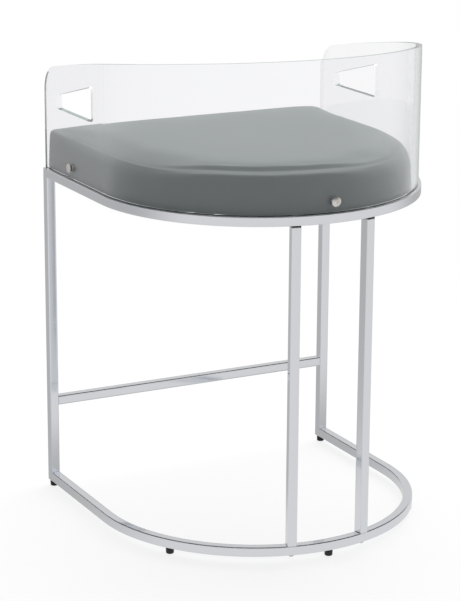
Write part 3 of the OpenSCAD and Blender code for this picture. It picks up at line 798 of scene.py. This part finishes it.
# %% Helpers for cutting and finishing
def round_rod(at, along, radius, length):
    """A round rod with its middle at a place, along X, Y or Z."""
    bpy.ops.object.select_all(action="DESELECT")
    turned = {"X": (0, math.pi / 2, 0), "Y": (math.pi / 2, 0, 0), "Z": (0, 0, 0)}[along]
    bpy.ops.mesh.primitive_cylinder_add(vertices=32, radius=radius, depth=length,
                                        location=at, rotation=turned)
    rod = bpy.context.object
    rod.name = "rod"
    bpy.ops.object.transform_apply(location=True, rotation=True, scale=True)
    return rod


def join(pieces):
    """Makes one object of several and returns it."""
    only(pieces[0])
    for piece in pieces:
        piece.select_set(True)
    bpy.ops.object.join()
    return pieces[0]


def cut_from(piece, cutter):
    """Takes the cutter's form out of a piece, and removes the cutter."""
    apply_modifier(piece, "BOOLEAN", operation="DIFFERENCE", solver="EXACT", object=cutter)
    bpy.data.objects.remove(cutter)


def finish_piece(piece, slot, angle):
    """Gives a piece its finish and its shading, and lets it ride on the stool."""
    piece.data.materials.clear()
    piece.data.materials.append(finishes[slot])
    only(piece)
    bpy.ops.object.shade_smooth_by_angle(angle=math.radians(angle))
    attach(piece, "stool")


print("cutting helpers ready")

# %% [markdown]
# The panel's three screws run in sleeves through the cover into the wood. The holes are
# a little wider than the sleeves, whose radius is read off the CAD model.

# %% Holes for the sleeves
PANEL_SCREW_Z = 606 * MM
SIDE_SCREW_Y = -156 * MM
SLEEVE_MID = 266 * MM
ROD_LENGTH = 16 * MM
# The sleeve at the back lies along Y, so its reach in X is its radius
back_x = [abs(v.co.x) for v in nodes["panel_spacers"].data.vertices if v.co.y > 0.1]
sleeve_r = 1e-4 * round(1e4 * max(back_x))
hole_r = sleeve_r + 0.4 * MM
rods = [round_rod((side * SLEEVE_MID, SIDE_SCREW_Y, PANEL_SCREW_Z), "X", hole_r, ROD_LENGTH)
        for side in (-1, 1)]
rods.append(round_rod((0, ARC_Y + SLEEVE_MID, PANEL_SCREW_Z), "Y", hole_r, ROD_LENGTH))
cut_from(cushion, join(rods))
finish_piece(cushion, "grey_leather", 38)
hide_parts("seat_cover", "foam_pad")
print("sleeve radius", sleeve_r, "and the cushion ends with", len(cushion.data.polygons), "faces")

# %% [markdown]
# ## Dust cover
# A black spun-bonded cloth closes the underside. It is stapled along its edge, and is
# drawn tight between the staples, so it is flat but for slight dips and puckers. It is
# a flat D with rings, whose points are then moved a few tenths of a millimetre.

# %% Dust cover
HEM_W = 24 * MM
DUST_INSET = HEM_W + 0.4 * MM
DUST_Z = SEAT_Z + 0.75 * MM
DIP = 0.12 * MM
PUCKERS = 42
dust = d_face("dust_cloth", SEAT_HALF_W - DUST_INSET, SEAT_FRONT_Y + DUST_INSET, DUST_Z,
              2 * MM, 20, 40)
bpy.ops.object.mode_set(mode="EDIT")
bpy.ops.mesh.select_mode(type="FACE")
bpy.ops.mesh.select_all(action="SELECT")
for scale in [0.985, 0.975, 0.96, 0.94] + 11 * [0.82]:
    bpy.ops.mesh.inset(thickness=0.01 * MM)
    bpy.ops.transform.resize(value=(scale, scale, 1), center_override=CENTRE)
bpy.ops.object.mode_set(mode="OBJECT")
for v in dust.data.vertices:
    near = math.exp(-max(edge_distance(v.co.x, v.co.y) - DUST_INSET / MM, 0) / 14)
    pucker = math.sin(math.atan2(v.co.x, v.co.y - ARC_Y) * PUCKERS) * near
    soft = noise.noise(Vector((v.co.x * 9, v.co.y * 9, 3)))
    v.co.z += DIP * pucker + DIP * soft
apply_modifier(dust, "SOLIDIFY", thickness=0.35 * MM, offset=0)
print("dust cover has", len(dust.data.polygons), "faces")

# %% [markdown]
# The four seat screws come through the cloth. Their middles are read off the CAD
# screws, and one boolean cuts the holes. The cloth's flat area is then worked out.

# %% Holes for the seat screws
SCREWS_APART = 30 * MM
SCREW_HOLE_R = 3.4 * MM
screw_points = [Vector(v.co.xy) for v in nodes["seat_screws"].data.vertices]
centres = []
for p in screw_points:
    if all((p - c).length > SCREWS_APART for c in centres):
        near = [q for q in screw_points if (q - p).length < SCREWS_APART]
        xs, ys = [q.x for q in near], [q.y for q in near]
        centres.append(Vector(((min(xs) + max(xs)) / 2, (min(ys) + max(ys)) / 2)))
cut_from(dust, join([round_rod((c.x, c.y, DUST_Z), "Z", SCREW_HOLE_R, 6 * MM) for c in centres]))
flat_area = math.pi / 2 * (SEAT_HALF_W - DUST_INSET) ** 2
flat_area += 2 * (SEAT_HALF_W - DUST_INSET) * (ARC_Y - SEAT_FRONT_Y - DUST_INSET)
finish_piece(dust, "black_cloth", 40)
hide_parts("dust_cover")
print("screw holes at", [(round(c.x, 3), round(c.y, 3)) for c in centres])

# %% [markdown]
# ## Staples
# Two rows of fine wire staples hold the cover's hem and the dust cover. One staple's
# crown is a flat bar with rounded ends, and the rest are copies of it, set along the D.

# %% One staple
STAPLE = (11 * MM, 1.1 * MM, 0.6 * MM)
bpy.ops.object.select_all(action="DESELECT")
bpy.ops.mesh.primitive_cube_add(size=1)
one = bpy.context.object
one.name = "staples"
one.scale = STAPLE
bpy.ops.object.transform_apply(location=True, rotation=True, scale=True)
bpy.ops.object.mode_set(mode="EDIT")
pick(one, "EDGE", lambda e: abs(e.verts[0].co.x - e.verts[1].co.x) < 1e-6)
bpy.ops.mesh.bevel(offset=0.25 * MM, segments=2, affect="EDGES")
bpy.ops.object.mode_set(mode="OBJECT")
print("one staple is", round(one.dimensions.x / MM, 1), "mm long")

# %% [markdown]
# The places are found by walking round the D. Staples shot by hand are never quite in
# line, so each is turned a little, and none is set over a screw's washer.

# %% Staples round the D
def d_walk(inset, spacing):
    """Places every spacing along the D, inset from the outline: (place, direction)."""
    r, front = SEAT_HALF_W - inset, SEAT_FRONT_Y + inset
    rows = []
    count = round(math.pi * r / spacing)
    for k in range(count + 1):
        a = math.pi * k / count
        rows.append((Vector((r * math.cos(a), ARC_Y + r * math.sin(a), 0)), a + math.pi / 2))
    count = round((ARC_Y - front) / spacing)
    rows += [(Vector((s * r, ARC_Y + (front - ARC_Y) * (k + 0.5) / count, 0)), math.pi / 2)
             for s in (-1, 1) for k in range(count)]
    count = round(2 * r / spacing)
    rows += [(Vector((-r + 2 * r * (k + 0.5) / count, front, 0)), 0.0) for k in range(count)]
    return rows


SCREW_CLEAR = 36 * MM
HEM_ROW = (14 * MM, 26 * MM, SEAT_Z - 0.15 * MM)
DUST_ROW = (29 * MM, 48 * MM, SEAT_Z + 0.35 * MM)
copies = []
for inset, spacing, z in (HEM_ROW, DUST_ROW):
    for at, along in d_walk(inset, spacing):
        if min((Vector(at.xy) - c).length for c in centres) < SCREW_CLEAR:
            continue
        copy = one.copy()
        copy.data = one.data.copy()
        bpy.context.scene.collection.objects.link(copy)
        turn = Matrix.Rotation(along + 0.12 * noise.noise(at * 60), 4, "Z")
        copy.data.transform(Matrix.Translation(at + Vector((0, 0, z))) @ turn)
        copies.append(copy)
bpy.data.objects.remove(one)
staples = join(copies)
staples.name = "staples"
finish_piece(staples, "zinc_steel", 30)
print(len(copies), "staples")
